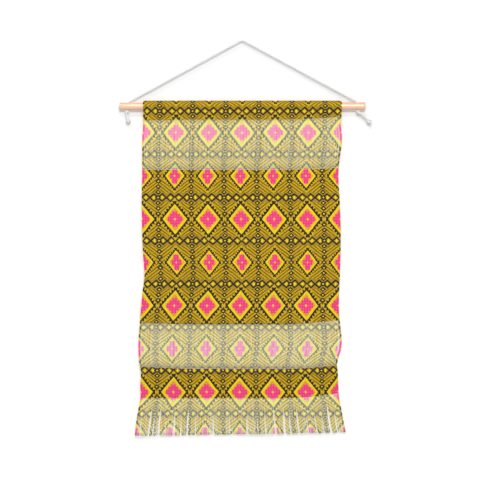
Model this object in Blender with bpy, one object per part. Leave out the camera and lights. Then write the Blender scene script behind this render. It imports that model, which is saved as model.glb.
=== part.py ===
"""Textile wall hanging on a wooden rod, with its hanging cord, at real size.

Metres, +Z up, printed face towards -Y, +X to the viewer's right. The origin is the hang point:
the underside of the cord at its highest point. "Drop" means how far below that point.
"""

from math import acos, atan2, cos, pi, radians, sin

import bmesh
import bpy
import numpy as np
from mathutils import Matrix

GAP = 0.0004  # between neighbouring pieces

# Wooden rod
ROD_LENGTH = 0.688
ROD_RADIUS = 0.011
ROD_DROP = 0.180
ROD_CHAMFER = 0.0012
HOLE_RADIUS = 0.0043
HOLE_EASING = 0.002  # the drilled mouths are countersunk by this
HOLE_LEFT = -0.3165
HOLE_RIGHT = 0.3205

# Cord
CORD_DIAMETER = 0.006
CORD_STEP = 2.5 * CORD_DIAMETER
TAIL_DIAMETER = 0.008  # the slack ends have opened up a little

# Cloth
CLOTH = 0.0015  # thickness
CREST_DROP = 0.164  # top of the pressed fold, which stands proud of the rod
FLAT_HALF_WIDTH = 0.281
SEAM_RISE = 0.004  # the sleeve's seam lies this far above the foot of the heading
FLAP_BELOW_SEAM = 0.002
FRONT_AT_SEAM = -0.0032  # depth of the front layer there
FACET = 0.0002  # more room round the rod, because the sleeve is made of flat facets
CREST_ROUNDING = 0.0006  # how far the crest's tip is rounded down
CREST_SHOULDER = (0.0017, 0.0008)  # how far beside and below the tip the rounding starts
STRIP = 0.003  # what joins the roots of the loose warps
STRANDS = 46  # bundles in each open band
STRAND_WIDTHS = (0.8, 1.2)  # narrowest and widest, against their mean
STRAND_GAPS = (0.0018, 0.0036)  # narrowest and widest
STRAND_DRIFT = 0.0006  # how far a bundle strays sideways
LOCKS = 68  # in the fringe
LOCK_GAPS = (0.0007, 0.0012)  # at the roots; they open towards the tips
LOCK_NARROWING = (0.10, 0.38)  # share of its width that a lock loses, least and most
LOCK_LEAN = 0.0012
LOCK_LENGTHS = 0.009  # between the longest and the shortest
LOCK_BEND = 0.45  # how far down a lock turns a little

# Side edges of the cloth, a row for each bend.
OUTLINE = np.array(
    (
        # drop, left, right
        (0.164, -0.2780, 0.2770),
        (0.198, -0.2775, 0.2780),
        (0.228, -0.2775, 0.2752),
        (0.272, -0.2803, 0.2792),
        (0.305, -0.2805, 0.2753),
        (0.350, -0.2806, 0.2697),
        (0.385, -0.2810, 0.2694),
        (0.440, -0.2820, 0.2725),
        (0.526, -0.2808, 0.2755),
        (0.600, -0.2778, 0.2748),
        (0.655, -0.2742, 0.2730),
        (0.700, -0.2795, 0.2710),
        (0.750, -0.2845, 0.2706),
        (0.800, -0.2880, 0.2750),
        (0.837, -0.2910, 0.2785),
        (0.872, -0.2910, 0.2741),
        (0.899, -0.2885, 0.2650),
        (0.918, -0.2848, 0.2671),
        (0.965, -0.2859, 0.2694),
        (0.999, -0.2853, 0.2717),
        (1.030, -0.2915, 0.2777),
        (1.065, -0.2970, 0.2838),
        (1.101, -0.3010, 0.2915),
    )
)

# Lines where the weaving starts or stops.
WEAVE_LINES = {
    # name: drop at the left edge, in the middle, at the right edge
    "heading": (0.2204, 0.2188, 0.2100),
    "upper_warps": (0.3567, 0.3567, 0.3508),
    "middle_panel": (0.7885, 0.7924, 0.7795),
    "lower_warps": (0.9083, 0.9142, 0.9038),
    "lower_panel": (0.9990, 0.9990, 0.9856),
    "fringe": (1.1012, 1.0998, 1.0906),
}
LEFT_BEND = 0.3  # shares across between which the lines run level
RIGHT_BEND = 0.7
RIGHT_RISE = 1.6  # power of the rise beyond

# Soft folds: their depth, how far apart they are, their phase at the top and how they lean.
FOLDS = (
    # depth, spacing, phase, metres across for each metre of drop
    (0.0030, 0.400, 0.60, 0.16),
    (0.0016, 0.170, -1.90, -0.35),
)
FLAT_ABOVE = 0.215  # no fold above this drop
FOLDED_BELOW = 0.375  # full folds below it
EDGE_ROLL_REACH = 0.045  # an edge that is drawn in also rolls back, over this width
EDGE_ROLL_SHARE = 0.6  # by this share of what it is drawn in

# Route of the cord's span, left hole to right hole, by way of the hang point.
SPAN_ROUTE = (
    # x, z
    (-0.3172, -0.1909),
    (-0.3172, -0.1830),
    (-0.3172, -0.1755),
    (-0.3165, -0.1714),
    (-0.3144, -0.1678),
    (-0.3110, -0.1650),
    (-0.3050, -0.1617),
    (-0.2900, -0.1535),
    (-0.2400, -0.1261),
    (-0.1900, -0.0988),
    (-0.1400, -0.0714),
    (-0.0900, -0.0440),
    (-0.0450, -0.0194),
    (-0.0200, -0.0057),
    (-0.0077, 0.0010),
    (-0.0040, 0.0025),
    (0.0000, 0.0030),
    (0.0040, 0.0025),
    (0.0077, 0.0010),
    (0.0200, -0.0057),
    (0.0450, -0.0191),
    (0.0900, -0.0434),
    (0.1400, -0.0704),
    (0.1900, -0.0975),
    (0.2400, -0.1245),
    (0.2950, -0.1542),
    (0.3090, -0.1618),
    (0.3150, -0.1650),
    (0.3184, -0.1678),
    (0.3205, -0.1714),
    (0.3212, -0.1755),
    (0.3212, -0.1830),
    (0.3212, -0.1909),
)

# Knots: one under each hole, and one at each free end.
KNOTS = {
    # name: x, z, width across its cord, height along it, lean of its cord from plumb in degrees
    "stopper_knot_left": (-0.3205, -0.1970, 0.0125, 0.0112, 0),
    "stopper_knot_right": (0.3226, -0.1968, 0.0125, 0.0110, 0),
    "end_knot_left": (-0.3195, -0.2225, 0.0145, 0.0135, 6),
    "end_knot_right": (0.3556, -0.2257, 0.0150, 0.0150, 47),
}
KNOT_RIDGE = 0.09  # how far each turn stands out, as a share of the knot's radius
TAIL_ROUTES = {
    # name: points between the two knots' surfaces, as x and z
    "tail_left": ((-0.3203, -0.2030), (-0.3202, -0.2071), (-0.3200, -0.2112), (-0.3198, -0.2154)),
    "tail_right": (
        (0.3272, -0.2014),
        (0.3317, -0.2051),
        (0.3370, -0.2097),
        (0.3425, -0.2146),
        (0.3497, -0.2206),
    ),
}

COLOURS = {
    # slot: red, green, blue, roughness
    "woven_cloth": (0.34, 0.22, 0.03, 0.9),
    "warp_yarn": (0.61, 0.50, 0.26, 0.9),
    "rod_wood": (0.91, 0.58, 0.35, 0.5),
    "cord_cotton": (0.86, 0.86, 0.84, 0.9),
}


def material(name, slot):
    """A material of a node's own, in the colour of its slot."""
    red, green, blue, roughness = COLOURS[slot]
    made = bpy.data.materials.new(name)
    made.use_nodes = True
    made.diffuse_color = (red, green, blue, 1)
    shader = made.node_tree.nodes["Principled BSDF"]
    shader.inputs["Base Color"].default_value = (red, green, blue, 1)
    shader.inputs["Roughness"].default_value = roughness
    shader.inputs["Metallic"].default_value = 0
    return made


def add(name, data, slot):
    """The data as a named object of the scene, in its own material."""
    made = bpy.data.objects.new(name, data)
    bpy.context.scene.collection.objects.link(made)
    data.materials.append(material(name, slot))
    return made


def smooth(at, knots, values):
    """Values at any place along the knots, on cubics that pass through each knot on its mean slope."""
    slopes = np.gradient(values, knots)
    low = np.clip(np.searchsorted(knots, at) - 1, 0, len(knots) - 2)
    step = knots[low + 1] - knots[low]
    t = np.clip((at - knots[low]) / step, 0, 1)
    keep, give = (1 + 2 * t) * (1 - t) ** 2, t * t * (3 - 2 * t)
    leave, reach = t * (1 - t) ** 2 * step, t * t * (t - 1) * step
    return (
        keep * values[low] + give * values[low + 1] + leave * slopes[low] + reach * slopes[low + 1]
    )


def ease(t):
    """0 to 1 with a soft start and end."""
    t = np.clip(t, 0, 1)
    return t * t * (3 - 2 * t)


def weave_line(name, across):
    """The drop of a weave line at a share of the way across, 0 at the left edge and 1 at the right."""
    left, middle, right = WEAVE_LINES[name]
    fall = middle + (left - middle) * (1 - ease(across / LEFT_BEND))
    past = np.clip((across - RIGHT_BEND) / (1 - RIGHT_BEND), 0, 1)
    return fall + (right - middle) * past**RIGHT_RISE


def on_cloth(across, drop):
    """The point of the hanging cloth at a share across and a drop, as arrays x, y, z."""
    left = smooth(drop, OUTLINE[:, 0], OUTLINE[:, 1])
    right = smooth(drop, OUTLINE[:, 0], OUTLINE[:, 2])
    x = left + (right - left) * across
    hang = ease((drop - FLAT_ABOVE) / (FOLDED_BELOW - FLAT_ABOVE))
    y = FRONT_AT_SEAM * (1 - hang)
    for depth, spacing, phase, lean in FOLDS:
        y = y + hang * depth * np.sin(2 * pi * (x + lean * drop) / spacing + phase)
    for edge in (left, right):
        roll = np.maximum(0, FLAT_HALF_WIDTH - abs(edge)) * EDGE_ROLL_SHARE
        near = np.clip(1 - abs(x - edge) / EDGE_ROLL_REACH, 0, 1)
        y = y + hang * roll * near * near
    return x, y, -drop


def sheet(name, slot, x, y, z, kept):
    """A grid of points whose kept cells become one sheet of cloth, thickened evenly to both sides."""
    rows, columns = x.shape
    index = np.arange(rows * columns).reshape(rows, columns)
    corners = (index[:-1, :-1], index[1:, :-1], index[1:, 1:], index[:-1, 1:])
    faces = np.stack(corners, axis=-1)[kept]
    mesh = bpy.data.meshes.new(name)
    mesh.from_pydata(np.stack((x, y, z), axis=-1).reshape(-1, 3).tolist(), [], faces.tolist())
    mesh.shade_smooth()
    made = add(name, mesh, slot)
    thickness = made.modifiers.new("cloth", "SOLIDIFY")
    thickness.thickness = CLOTH
    thickness.offset = 0
    thickness.use_even_offset = True
    return made


def strand_edges(count, narrowest_gap, widest_gap, rng):
    """Left and right edges of count strands of uneven width, as shares across, in turn."""
    widths = rng.uniform(*STRAND_WIDTHS, count)
    gaps = rng.uniform(narrowest_gap, widest_gap, count - 1) / (2 * FLAT_HALF_WIDTH)
    widths *= (1 - gaps.sum()) / widths.sum()
    steps = np.zeros(2 * count)
    steps[1::2] = widths
    steps[2::2] = gaps
    return steps.cumsum()


def between(name, line_above, across, shares):
    """Drops at these shares of the way from one weave line to the next, less half a gap at each."""
    top = weave_line(line_above, across) + GAP / 2
    foot = weave_line(name, across) - GAP / 2
    return top + (foot - top) * shares


def woven_panel(name, line_above, columns, rows):
    """A plain woven part between two weave lines."""
    across, down = np.meshgrid(np.linspace(0, 1, columns + 1), np.linspace(0, 1, rows + 1))
    points = on_cloth(across, between(name, line_above, across, down))
    return sheet(name, "woven_cloth", *points, np.ones((rows, columns), bool))


def open_band(name, line_above, seed):
    """Loose warps between two woven parts: strands that two narrow strips join, above and below."""
    rng = np.random.default_rng(seed)
    edges = strand_edges(STRANDS, *STRAND_GAPS, rng)
    shares = np.array((0, 0, 1 / 3, 2 / 3, 1, 1))[:, None]
    strips = np.array((0, 1, 0, 0, -1, 0))[:, None] * STRIP
    across = np.tile(edges, (len(shares), 1))
    drift = rng.uniform(-1, 1, (2, STRANDS)) * STRAND_DRIFT / (2 * FLAT_HALF_WIDTH)
    drift[:, [0, -1]] = 0
    across[2:4] += drift.repeat(2, axis=1)
    kept = np.zeros((len(shares) - 1, 2 * STRANDS - 1), bool)
    kept[:, ::2] = True
    kept[[0, -1]] = True
    points = on_cloth(across, between(name, line_above, across, shares) + strips)
    return sheet(name, "warp_yarn", *points, kept)


def fringe(name, line_above, seed):
    """The loose warps at the foot: locks of uneven length that narrow a little, under one strip."""
    rng = np.random.default_rng(seed)
    roots = strand_edges(LOCKS, *LOCK_GAPS, rng)
    shares = np.array((0, 0, LOCK_BEND, 1))[:, None]
    across = np.tile(roots, (len(shares), 1))
    middle = (roots[::2] + roots[1::2]) / 2
    half = (roots[1::2] - roots[::2]) / 2
    for row in (2, 3):
        share = shares[row, 0]
        lean = rng.uniform(-LOCK_LEAN, LOCK_LEAN, LOCKS) * share / (2 * FLAT_HALF_WIDTH)
        narrow = 1 - share * rng.uniform(*LOCK_NARROWING, LOCKS)
        across[row, ::2] = middle + lean - half * narrow
        across[row, 1::2] = middle + lean + half * narrow
    across[:, 0] = 0
    across[:, -1] = 1
    shorter = shares * rng.uniform(0, LOCK_LENGTHS, LOCKS).repeat(2)
    drop = between(name, line_above, across, shares) - shorter
    drop[1] += STRIP
    x, y, z = on_cloth(across, drop)
    y = y + shares * rng.uniform(-LOCK_LEAN, LOCK_LEAN, LOCKS).repeat(2)
    kept = np.zeros((len(shares) - 1, 2 * LOCKS - 1), bool)
    kept[:, ::2] = True
    kept[0] = True
    return sheet(name, "warp_yarn", x, y, z, kept)


def sleeve_section(seam_z, flap_z, foot_z):
    """The sleeve's middle line round the rod, as (y, z) from the rod's axis, back flap to front foot.

    It leaves the seam straight, meets the rod on a tangent, follows it to its shoulder and then
    runs straight to the pressed crest above it, and the same down the other side.
    """
    round_rod = ROD_RADIUS + GAP + FACET + CLOTH / 2
    crest = ROD_DROP - CREST_DROP - CLOTH / 2
    shoulder = acos(round_rod / (crest + CREST_ROUNDING))
    back_y = FRONT_AT_SEAM + CLOTH + GAP
    sides = []
    for seam_y, side in ((back_y, 1), (FRONT_AT_SEAM, -1)):
        reach = (seam_y * seam_y + seam_z * seam_z) ** 0.5
        tangent = pi - acos(round_rod / reach) - atan2(side * seam_y, -seam_z)
        turns = np.linspace(tangent, shoulder, 5)
        arc = [(side * round_rod * sin(turn), round_rod * cos(turn)) for turn in turns]
        beside_crest = (side * CREST_SHOULDER[0], crest - CREST_SHOULDER[1])
        sides.append([(seam_y, seam_z)] + arc + [beside_crest])
    back, front = sides
    return [(back_y, flap_z)] + back + [(0, crest)] + front[::-1] + [(FRONT_AT_SEAM, foot_z)]


def heading(columns):
    """The cloth's top: one layer folded back over the rod and sewn down behind, open at both ends."""
    across = np.linspace(0, 1, columns + 1)
    foot = ROD_DROP - (weave_line("heading", across) - GAP / 2)
    seam = foot + SEAM_RISE
    sections = [
        sleeve_section(seam_z, seam_z - FLAP_BELOW_SEAM, foot_z)
        for seam_z, foot_z in zip(seam, foot)
    ]
    y, z = np.moveaxis(np.array(sections), -1, 0)
    z = z.T - ROD_DROP
    x = on_cloth(np.tile(across, (len(z), 1)), -z)[0]
    kept = np.ones((len(z) - 1, columns), bool)
    made = sheet("heading", "woven_cloth", x, y.T, z, kept)
    made.data.flip_normals()
    return made


def cutter(name, x, build):
    """A hidden upright tool at one hole of the rod, which the rod's Boolean takes away."""
    mesh = bpy.data.meshes.new(name)
    form = bmesh.new()
    build(form)
    form.to_mesh(mesh)
    form.free()
    made = bpy.data.objects.new(name, mesh)
    made.location = (x, 0, -ROD_DROP)
    made.hide_render = True
    made.display_type = "WIRE"
    bpy.context.scene.collection.objects.link(made)
    return made


def drill(form):
    """A plain round bar, longer than the rod is thick."""
    bmesh.ops.create_cone(
        form,
        cap_ends=True,
        segments=16,
        radius1=HOLE_RADIUS,
        radius2=HOLE_RADIUS,
        depth=2 * ROD_RADIUS + 0.01,
    )


def countersink(side):
    """A cone of 45 degrees that eases the mouth above (side 1) or below (side -1)."""
    high = 3 * HOLE_EASING
    narrow_end = ROD_RADIUS - HOLE_EASING

    def build(form):
        bmesh.ops.create_cone(
            form,
            cap_ends=True,
            segments=16,
            radius1=HOLE_RADIUS if side > 0 else HOLE_RADIUS + high,
            radius2=HOLE_RADIUS + high if side > 0 else HOLE_RADIUS,
            depth=high,
            matrix=Matrix.Translation((0, 0, side * (narrow_end + high / 2))),
        )

    return build


def rod():
    """The turned rod, with its ends chamfered and a hole near each end for the cord."""
    form = bmesh.new()
    bmesh.ops.create_cone(
        form,
        cap_ends=True,
        segments=32,
        radius1=ROD_RADIUS,
        radius2=ROD_RADIUS,
        depth=ROD_LENGTH,
        matrix=Matrix.Rotation(pi / 2, 4, "Y"),
    )
    rims = [edge for edge in form.edges if abs(edge.verts[0].co.x - edge.verts[1].co.x) < 1e-6]
    bmesh.ops.bevel(form, geom=rims, offset=ROD_CHAMFER, segments=1, affect="EDGES")
    mesh = bpy.data.meshes.new("rod")
    form.to_mesh(mesh)
    form.free()
    mesh.shade_smooth()
    mesh.set_sharp_from_angle(angle=0.6)
    made = add("rod", mesh, "rod_wood")
    made.location = (0, 0, -ROD_DROP)
    for side, x in (("left", HOLE_LEFT), ("right", HOLE_RIGHT)):
        tools = {"drill": drill, "top": countersink(1), "foot": countersink(-1)}
        for part, build in tools.items():
            hole = made.modifiers.new(f"{side} {part}", "BOOLEAN")
            hole.operation = "DIFFERENCE"
            hole.solver = "EXACT"
            hole.object = cutter(f"{part}_cutter_{side}", x, build)
    return made


def along(route, step):
    """Points along the smooth curve through the route's points: those points, and between them as
    many evenly spaced ones as keep neighbours within a step."""
    route = np.array(route)
    runs = np.linalg.norm(np.diff(route, axis=0), axis=1)
    place = np.concatenate(((0,), runs.cumsum()))
    pieces = np.ceil(runs / step).astype(int)
    at = [low + run * np.arange(n) / n for low, run, n in zip(place, runs, pieces)]
    at = np.concatenate(at + [place[-1:]])
    return np.stack([smooth(at, place, column) for column in route.T], axis=1)


def cord(name, points, diameter):
    """A round cord along points in the plane y = 0, with closed ends."""
    curve = bpy.data.curves.new(name, "CURVE")
    curve.dimensions = "3D"
    curve.bevel_depth = diameter / 2
    curve.bevel_resolution = 2
    curve.use_fill_caps = True
    spline = curve.splines.new("POLY")
    spline.points.add(len(points) - 1)
    for point, (x, z) in zip(spline.points, points):
        point.co = (x, 0, z, 1)
    return add(name, curve, "cord_cotton")


def knot(name):
    """An overhand knot pulled tight: a ball with three slanting turns of cord raised on it."""
    x, z, width, height, lean = KNOTS[name]
    form = bmesh.new()
    bmesh.ops.create_uvsphere(form, u_segments=18, v_segments=9, radius=1)
    for vertex in form.verts:
        spot = vertex.co.normalized()
        turn = atan2(spot.y, spot.x)
        turns = cos(3 * turn + 4 * spot.z) * (1 - spot.z**4)
        spot *= 1 + KNOT_RIDGE * turns
        vertex.co = (spot.x * width / 2, spot.y * width / 2, spot.z * height / 2)
    mesh = bpy.data.meshes.new(name)
    form.to_mesh(mesh)
    form.free()
    mesh.shade_smooth()
    made = add(name, mesh, "cord_cotton")
    made.rotation_euler = (0, -radians(lean), 0)
    made.location = (x, 0, z)
    return made


def main():
    for old in list(bpy.data.objects):
        bpy.data.objects.remove(old, do_unlink=True)
    rod()
    heading(columns=18)
    open_band("upper_warps", "heading", seed=3)
    woven_panel("middle_panel", "upper_warps", columns=20, rows=16)
    open_band("lower_warps", "middle_panel", seed=5)
    woven_panel("lower_panel", "lower_warps", columns=20, rows=5)
    fringe("fringe", "lower_panel", seed=11)
    cord("hanger_cord", along(SPAN_ROUTE, CORD_STEP), CORD_DIAMETER)
    for name, route in TAIL_ROUTES.items():
        cord(name, route, TAIL_DIAMETER)
    for name in KNOTS:
        knot(name)


main()
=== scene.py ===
# %% [markdown]
# # A printed cloth hanging on a wooden rod
# The hanging is one length of printed cotton. Its top is folded over a round wooden rod and sewn
# down behind. Weft was left out in two bands and at the foot, so loose warp threads show there.
# A white twisted cord holds the rod by both ends. Everything here is in metres, with the hang
# point at the origin, up along Z and the printed face towards the viewer.
#
# The solids already stand in the imported model. This lesson puts the real surfaces on them, so
# it loads the model first.

# %% Load the imported model
from math import acos, atan2, cos, pi, radians, sin

import bpy
import numpy as np
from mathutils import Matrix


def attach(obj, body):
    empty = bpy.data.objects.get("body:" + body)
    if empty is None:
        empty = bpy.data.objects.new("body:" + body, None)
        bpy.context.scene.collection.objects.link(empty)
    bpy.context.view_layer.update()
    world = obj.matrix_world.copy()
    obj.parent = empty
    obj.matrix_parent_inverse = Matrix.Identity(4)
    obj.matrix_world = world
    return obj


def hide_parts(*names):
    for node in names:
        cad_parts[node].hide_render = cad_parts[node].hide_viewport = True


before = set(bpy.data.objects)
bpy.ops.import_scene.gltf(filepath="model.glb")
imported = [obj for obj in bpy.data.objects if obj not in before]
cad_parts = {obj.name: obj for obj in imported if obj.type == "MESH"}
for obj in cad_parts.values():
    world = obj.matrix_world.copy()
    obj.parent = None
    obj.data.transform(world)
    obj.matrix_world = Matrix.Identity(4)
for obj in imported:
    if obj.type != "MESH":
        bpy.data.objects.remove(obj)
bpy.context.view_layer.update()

# %% [markdown]
# # The camera
# The picture was taken straight from the front with a long lens, so the rod stays level and the
# cloth's edges stay upright. One pixel of a picture 480 pixels wide is 2.8 mm of the hanging.
# The lens and that scale give the distance: a wider view needs the camera further back.

# %% Place the camera
PICTURE_PIXELS = 480
PIXEL = 0.0028
VIEW_WIDTH = PICTURE_PIXELS * PIXEL
VIEW_CENTRE_X = -0.0067
VIEW_CENTRE_Z = -0.5544
LENS = 100.0
SENSOR = 36.0
camera_distance = VIEW_WIDTH * LENS / SENSOR

front_camera = bpy.data.objects.new("front_camera", bpy.data.cameras.new("front_camera"))
front_camera.data.lens = LENS
front_camera.data.sensor_width = SENSOR
front_camera.location = (VIEW_CENTRE_X, -camera_distance, VIEW_CENTRE_Z)
front_camera.rotation_euler = (pi / 2, 0, 0)
bpy.context.scene.collection.objects.link(front_camera)
bpy.context.scene.camera = front_camera
print("camera stands", round(camera_distance, 3), "m in front of the cloth")

# %% [markdown]
# # Numbers into surfaces
# Every piece here is a grid of points bent into shape: rows along the piece, columns across or
# round it. Blender could make tubes with its curve tools, but a grid worked out with numpy gives
# the same control over cord, cloth and thread, and one helper can turn any of them into a mesh.
# The grid also carries maps, pairs of numbers at each corner, which the materials read later.

# %% Helpers for curves through given points
def smooth(at, knots, values):
    """Values anywhere along the knots: on each stretch a cubic leaves and reaches the knots with
    the mean slope of their neighbours, so the curve passes through all of them."""
    slopes = np.gradient(values, knots)
    low = np.clip(np.searchsorted(knots, at) - 1, 0, len(knots) - 2)
    step = knots[low + 1] - knots[low]
    t = np.clip((at - knots[low]) / step, 0, 1)
    keep, give = (1 + 2 * t) * (1 - t) ** 2, t * t * (3 - 2 * t)
    leave, reach = t * (1 - t) ** 2 * step, t * t * (t - 1) * step
    return (
        keep * values[low] + give * values[low + 1] + leave * slopes[low] + reach * slopes[low + 1]
    )


def ease(t):
    """0 to 1 with a soft start and end: three t squared less two t cubed."""
    t = np.clip(t, 0, 1)
    return t * t * (3 - 2 * t)


# %% Helpers that turn grids into pieces
def sheet_corners(rows, columns):
    """The four corners of each cell of an open grid, as row and column."""
    row, column = np.meshgrid(np.arange(rows - 1), np.arange(columns - 1), indexing="ij")
    cell = (row, column, row + 1, column, row + 1, column + 1, row, column + 1)
    return np.stack(cell, axis=-1).reshape(-1, 4, 2)


def tube_corners(rings, sides):
    """The same for a closed tube: its wall, and a strip of flat cells over each end. The last
    column of the wall is one past the sides, so that a map can run on to the seam."""
    ring, side = np.meshgrid(np.arange(rings - 1), np.arange(sides), indexing="ij")
    wall = (ring, side, ring, side + 1, ring + 1, side + 1, ring + 1, side)
    wall = np.stack(wall, axis=-1).reshape(-1, 4, 2)
    low = np.arange(sides // 2 - 1)
    first = np.stack((low + 1, low, sides - 1 - low, sides - 2 - low), axis=-1)
    last = np.stack((low, low + 1, sides - 2 - low, sides - 1 - low), axis=-1)
    first = np.stack((np.zeros_like(first), first), axis=-1)
    last = np.stack((np.full_like(last, rings - 1), last), axis=-1)
    return np.concatenate((wall, first, last))


def piece(name, points, corners, maps, finishes, slot, tube=False):
    """A mesh object on the only body. points has one grid or a stack of equal grids, as copy, row,
    column and xyz. corners are cells of one grid, and maps hold two numbers for each grid corner.
    A closed tube whose volume comes out negative has its faces turned outwards."""
    copies, rows, columns = points.shape[:3]
    cells = corners[None, ..., 0] * columns + corners[None, ..., 1] % columns
    cells = cells + (np.arange(copies) * rows * columns)[:, None, None]
    faces = cells.reshape(-1, 4)
    flat = points.reshape(-1, 3)
    a, b, c, d = (flat[faces[:, k]] for k in range(4))
    volume = ((np.cross(a, b) * c).sum() + (np.cross(a, c) * d).sum()) / 6
    turned = tube and volume < 0
    if turned:
        faces = faces[:, ::-1]
        corners = corners[:, ::-1]
    mesh = bpy.data.meshes.new(name)
    mesh.vertices.add(len(flat))
    mesh.vertices.foreach_set("co", flat.ravel())
    mesh.loops.add(faces.size)
    mesh.loops.foreach_set("vertex_index", faces.ravel())
    mesh.polygons.add(len(faces))
    mesh.polygons.foreach_set("loop_start", np.arange(len(faces)) * 4)
    mesh.update(calc_edges=True)
    mesh.shade_smooth()
    for map_name, values in maps.items():
        at_corners = values[:, corners[..., 0], corners[..., 1]]
        mesh.uv_layers.new(name=map_name).data.foreach_set("uv", at_corners.ravel())
    for finish in finishes:
        mesh.materials.append(finish)
    made = bpy.data.objects.new(name, mesh)
    bpy.context.scene.collection.objects.link(made)
    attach(made, "root")
    print(name, "has", len(faces), "faces")
    return made


# %% [markdown]
# # Writing materials as sums
# A procedural material is a chain of small sums: where am I, which thread is this, which colour
# does it have. In the shader editor each sum is a node. Here two helpers add a node and join it
# to others, so a pattern can be written line by line, as on paper.

# %% Helpers for shader nodes
def add_node(tree, kind, inputs=(), **settings):
    """A new node of this kind. Inputs are numbers or other nodes' outputs, by name or place."""
    made = tree.nodes.new(kind)
    for name, value in settings.items():
        setattr(made, name, value)
    for place, value in dict(inputs).items():
        if isinstance(value, bpy.types.NodeSocket):
            tree.links.new(value, made.inputs[place])
        else:
            made.inputs[place].default_value = value
    return made


def sums(tree):
    """A function that adds one sum to this tree, such as adding, the largest or the remainder."""

    def sum_of(kind, *values):
        """The result of one sum of this kind on numbers or other nodes' outputs."""
        return add_node(tree, "ShaderNodeMath", enumerate(values), operation=kind).outputs[0]

    return sum_of


def inside(tree, value, limit, soft):
    """1 where the value is under the limit and 0 past it, on a straight ramp this wide."""
    ramp = {0: value, 1: limit - soft / 2, 2: limit + soft / 2, 3: 1.0, 4: 0.0}
    return add_node(tree, "ShaderNodeMapRange", ramp, clamp=True).outputs[0]


def blend(tree, share, below, above):
    """One colour laid over another by a share from 0 to 1."""
    mix = add_node(tree, "ShaderNodeMix", data_type="RGBA")
    for place, value in ((0, share), (6, below), (7, above)):
        if isinstance(value, bpy.types.NodeSocket):
            tree.links.new(value, mix.inputs[place])
        else:
            mix.inputs[place].default_value = value if place == 0 else (*value, 1)
    return mix.outputs[2]


def noise(tree, place, scale, detail=2.0, roughness=0.5):
    """Soft random numbers round one half, at this many bumps to the metre."""
    inputs = {"Vector": place, "Scale": scale, "Detail": detail, "Roughness": roughness}
    return add_node(tree, "ShaderNodeTexNoise", inputs).outputs[0]


def stretch(tree, place, scale):
    """The place, scaled by its own number along each axis."""
    return add_node(tree, "ShaderNodeMapping", {"Vector": place, "Scale": scale}).outputs[0]


def new_finish(name):
    """A material with its Principled shader, and its node tree."""
    made = bpy.data.materials.new(name)
    made.use_nodes = True
    return made, made.node_tree, made.node_tree.nodes["Principled BSDF"]


def add_relief(tree, shader, height, distance):
    """Bends the shader's light by a height from 0 to 1 that stands for this many metres."""
    bump = add_node(tree, "ShaderNodeBump", {"Height": height, "Distance": distance, "Strength": 1.0})
    tree.links.new(bump.outputs[0], shader.inputs["Normal"])


# %% [markdown]
# # The cotton of the cord
# The cord is soft white cotton, three strands laid round each other, and each strand is a bundle
# of fine yarns. The strands are in the mesh. The yarns are too small for it, so they are relief
# in the material, on a map whose first number goes round the cord with the twist and whose
# second is the length along it. Their grooves have painted shade and their crests painted light.

# %% Make the cord's material
CORD_YARNS = 24
CORD_YARN_SLANT = 260.0
GROOVE_PAINTED_SHADE = (0.78, 0.78, 0.775)
CREST_PAINTED_LIGHT = (0.93, 0.93, 0.925)
HANDLED_COTTON = (0.80, 0.80, 0.79)
HANDLED_SHARE = 0.25
FLUFF_BUMPS = 900.0
HANDLED_BUMPS = 35.0
YARN_RELIEF = 0.0005

cord_cotton, tree, shader = new_finish("white_cotton_cord")
calc = sums(tree)
cord_map = add_node(tree, "ShaderNodeUVMap", uv_map="cord").outputs[0]
round_it, along_it, _ = add_node(tree, "ShaderNodeSeparateXYZ", {0: cord_map}).outputs
turns = calc("MULTIPLY_ADD", along_it, CORD_YARN_SLANT, calc("MULTIPLY", round_it, CORD_YARNS))
yarn = calc("PINGPONG", turns, 0.5)
object_place = add_node(tree, "ShaderNodeTexCoord").outputs["Object"]
fluff = noise(tree, object_place, FLUFF_BUMPS, 3.0, 0.6)
handled = noise(tree, object_place, HANDLED_BUMPS)
# Painted shade in the yarns' grooves and painted light on their crests, by the same wave as the
# relief.
cotton = blend(tree, yarn, GROOVE_PAINTED_SHADE, CREST_PAINTED_LIGHT)
cotton = blend(tree, calc("MULTIPLY", handled, HANDLED_SHARE), cotton, HANDLED_COTTON)
tree.links.new(cotton, shader.inputs["Base Color"])
shader.inputs["Roughness"].default_value = 0.88
shader.inputs["Sheen Weight"].default_value = 0.1
add_relief(tree, shader, calc("MULTIPLY_ADD", fluff, 0.5, yarn), YARN_RELIEF)
print("the cord's cotton has", len(tree.nodes), "nodes")

# %% [markdown]
# # The cord
# The cord runs up through a hole near one end of the rod, over the hang point and down through
# the other hole. Its route is a few points in the plane of the rod, with a smooth curve through
# them. The surface is the outline of three touching strands, carried along that curve while it
# turns, which is just how a rope machine lays them. Blender could twist three curves together,
# but one surface has no hidden insides.

# %% Lay three strands along a route
CORD_DIAMETER = 0.006
LAY_LENGTH = 0.019
STRAND_SHARE = 0.60
CORD_SIDES = 24
RING_STEP = 0.0013


def three_strands(angle):
    """How far out the cord's surface is at an angle, against its radius: the far side of a circle
    whose middle lies off the axis, one circle in each third of a turn."""
    third = 2 * pi / 3
    off_middle = np.mod(angle, third) - third / 2
    middle = 1 - STRAND_SHARE
    return middle * np.cos(off_middle) + np.sqrt(
        STRAND_SHARE**2 - (middle * np.sin(off_middle)) ** 2
    )


def evenly(route, step):
    """Points about a step apart along the smooth curve through the route's points."""
    route = np.array(route, float)
    runs = np.linalg.norm(np.diff(route, axis=0), axis=1)
    place = np.concatenate(((0,), runs.cumsum()))
    at = np.linspace(0, place[-1], int(round(place[-1] / step)) + 1)
    return np.stack([smooth(at, place, column) for column in route.T], axis=1)


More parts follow.
